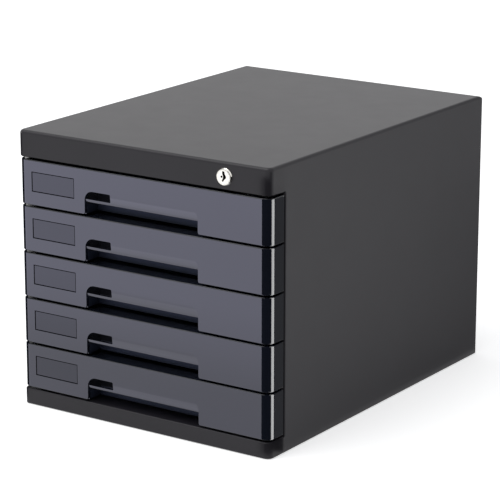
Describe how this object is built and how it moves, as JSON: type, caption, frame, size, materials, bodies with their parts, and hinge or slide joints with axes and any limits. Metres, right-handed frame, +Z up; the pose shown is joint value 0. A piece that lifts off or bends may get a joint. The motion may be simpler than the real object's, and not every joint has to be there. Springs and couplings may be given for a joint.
{
  "type": "desktop file drawer",
  "caption": "Desktop file cabinet with sliding letter trays behind glossy fronts, recessed pulls with finger windows, and one cam lock that holds all drawers.",
  "frame": {"origin": "middle of the footprint's bounding box, on the ground under the feet", "axes": "+X right, +Y back, +Z up; the drawer fronts face -Y and the drawers slide out along -Y"},
  "size_m": [0.264, 0.3572, 0.2508],
  "materials": {
    "case_plastic": "fine-textured charcoal moulded plastic",
    "front_plastic": "high-gloss near-black moulded plastic",
    "tray_plastic": "semi-matte dark moulded plastic",
    "lock_metal": "bright nickel plate",
    "bar_steel": "zinc-plated pressed steel",
    "screw_steel": "zinc-plated steel",
    "foot_rubber": "matte black rubber"
  },
  "bodies": {
    "case": {"top_cover": "case_plastic", "left_side_panel": "case_plastic", "right_side_panel": "case_plastic", "base_panel": "case_plastic", "back_panel": "case_plastic", "case_screws": "screw_steel", "rubber_feet": "foot_rubber", "lock_housing": "lock_metal", "lock_nut": "lock_metal", "lock_bar_guides": "tray_plastic"},
    "lock_core": {"lock_plug": "lock_metal", "lock_cam": "bar_steel", "cam_screw": "screw_steel"},
    "lock_bar": {"lock_bar": "bar_steel", "lock_bar_hooks": "bar_steel"},
    "drawer_1": {"drawer_1_tray": "tray_plastic", "drawer_1_front": "front_plastic", "drawer_1_screws": "screw_steel", "drawer_1_stops": "tray_plastic", "drawer_1_catch": "tray_plastic"},
    "drawer_2": {"drawer_2_tray": "tray_plastic", "drawer_2_front": "front_plastic", "drawer_2_screws": "screw_steel", "drawer_2_stops": "tray_plastic", "drawer_2_catch": "tray_plastic"},
    "drawer_3": {"drawer_3_tray": "tray_plastic", "drawer_3_front": "front_plastic", "drawer_3_screws": "screw_steel", "drawer_3_stops": "tray_plastic", "drawer_3_catch": "tray_plastic"},
    "drawer_4": {"drawer_4_tray": "tray_plastic", "drawer_4_front": "front_plastic", "drawer_4_screws": "screw_steel", "drawer_4_stops": "tray_plastic", "drawer_4_catch": "tray_plastic"},
    "drawer_5": {"drawer_5_tray": "tray_plastic", "drawer_5_front": "front_plastic", "drawer_5_screws": "screw_steel", "drawer_5_stops": "tray_plastic", "drawer_5_catch": "tray_plastic"}
  },
  "joints": [
    {"name": "lock_turn", "type": "hinge", "parent": "case", "child": "lock_core", "pos_m": [0.087, -0.1786, 0.2383], "axis": [0, -1, 0], "range_deg": [0, 90]},
    {"name": "lock_bar_lift", "type": "slide", "parent": "case", "child": "lock_bar", "axis": [0, 0, 1], "range_m": [0, 0.0085]},
    {"name": "drawer_1_slide", "type": "slide", "parent": "case", "child": "drawer_1", "axis": [0, -1, 0], "range_m": [0, 0.24]},
    {"name": "drawer_2_slide", "type": "slide", "parent": "case", "child": "drawer_2", "axis": [0, -1, 0], "range_m": [0, 0.24]},
    {"name": "drawer_3_slide", "type": "slide", "parent": "case", "child": "drawer_3", "axis": [0, -1, 0], "range_m": [0, 0.24]},
    {"name": "drawer_4_slide", "type": "slide", "parent": "case", "child": "drawer_4", "axis": [0, -1, 0], "range_m": [0, 0.24]},
    {"name": "drawer_5_slide", "type": "slide", "parent": "case", "child": "drawer_5", "axis": [0, -1, 0], "range_m": [0, 0.24]}
  ],
  "couplings": [
    {"joint": "lock_turn", "follows": "lock_bar_lift", "rad_per_m": 184.7}
  ]
}
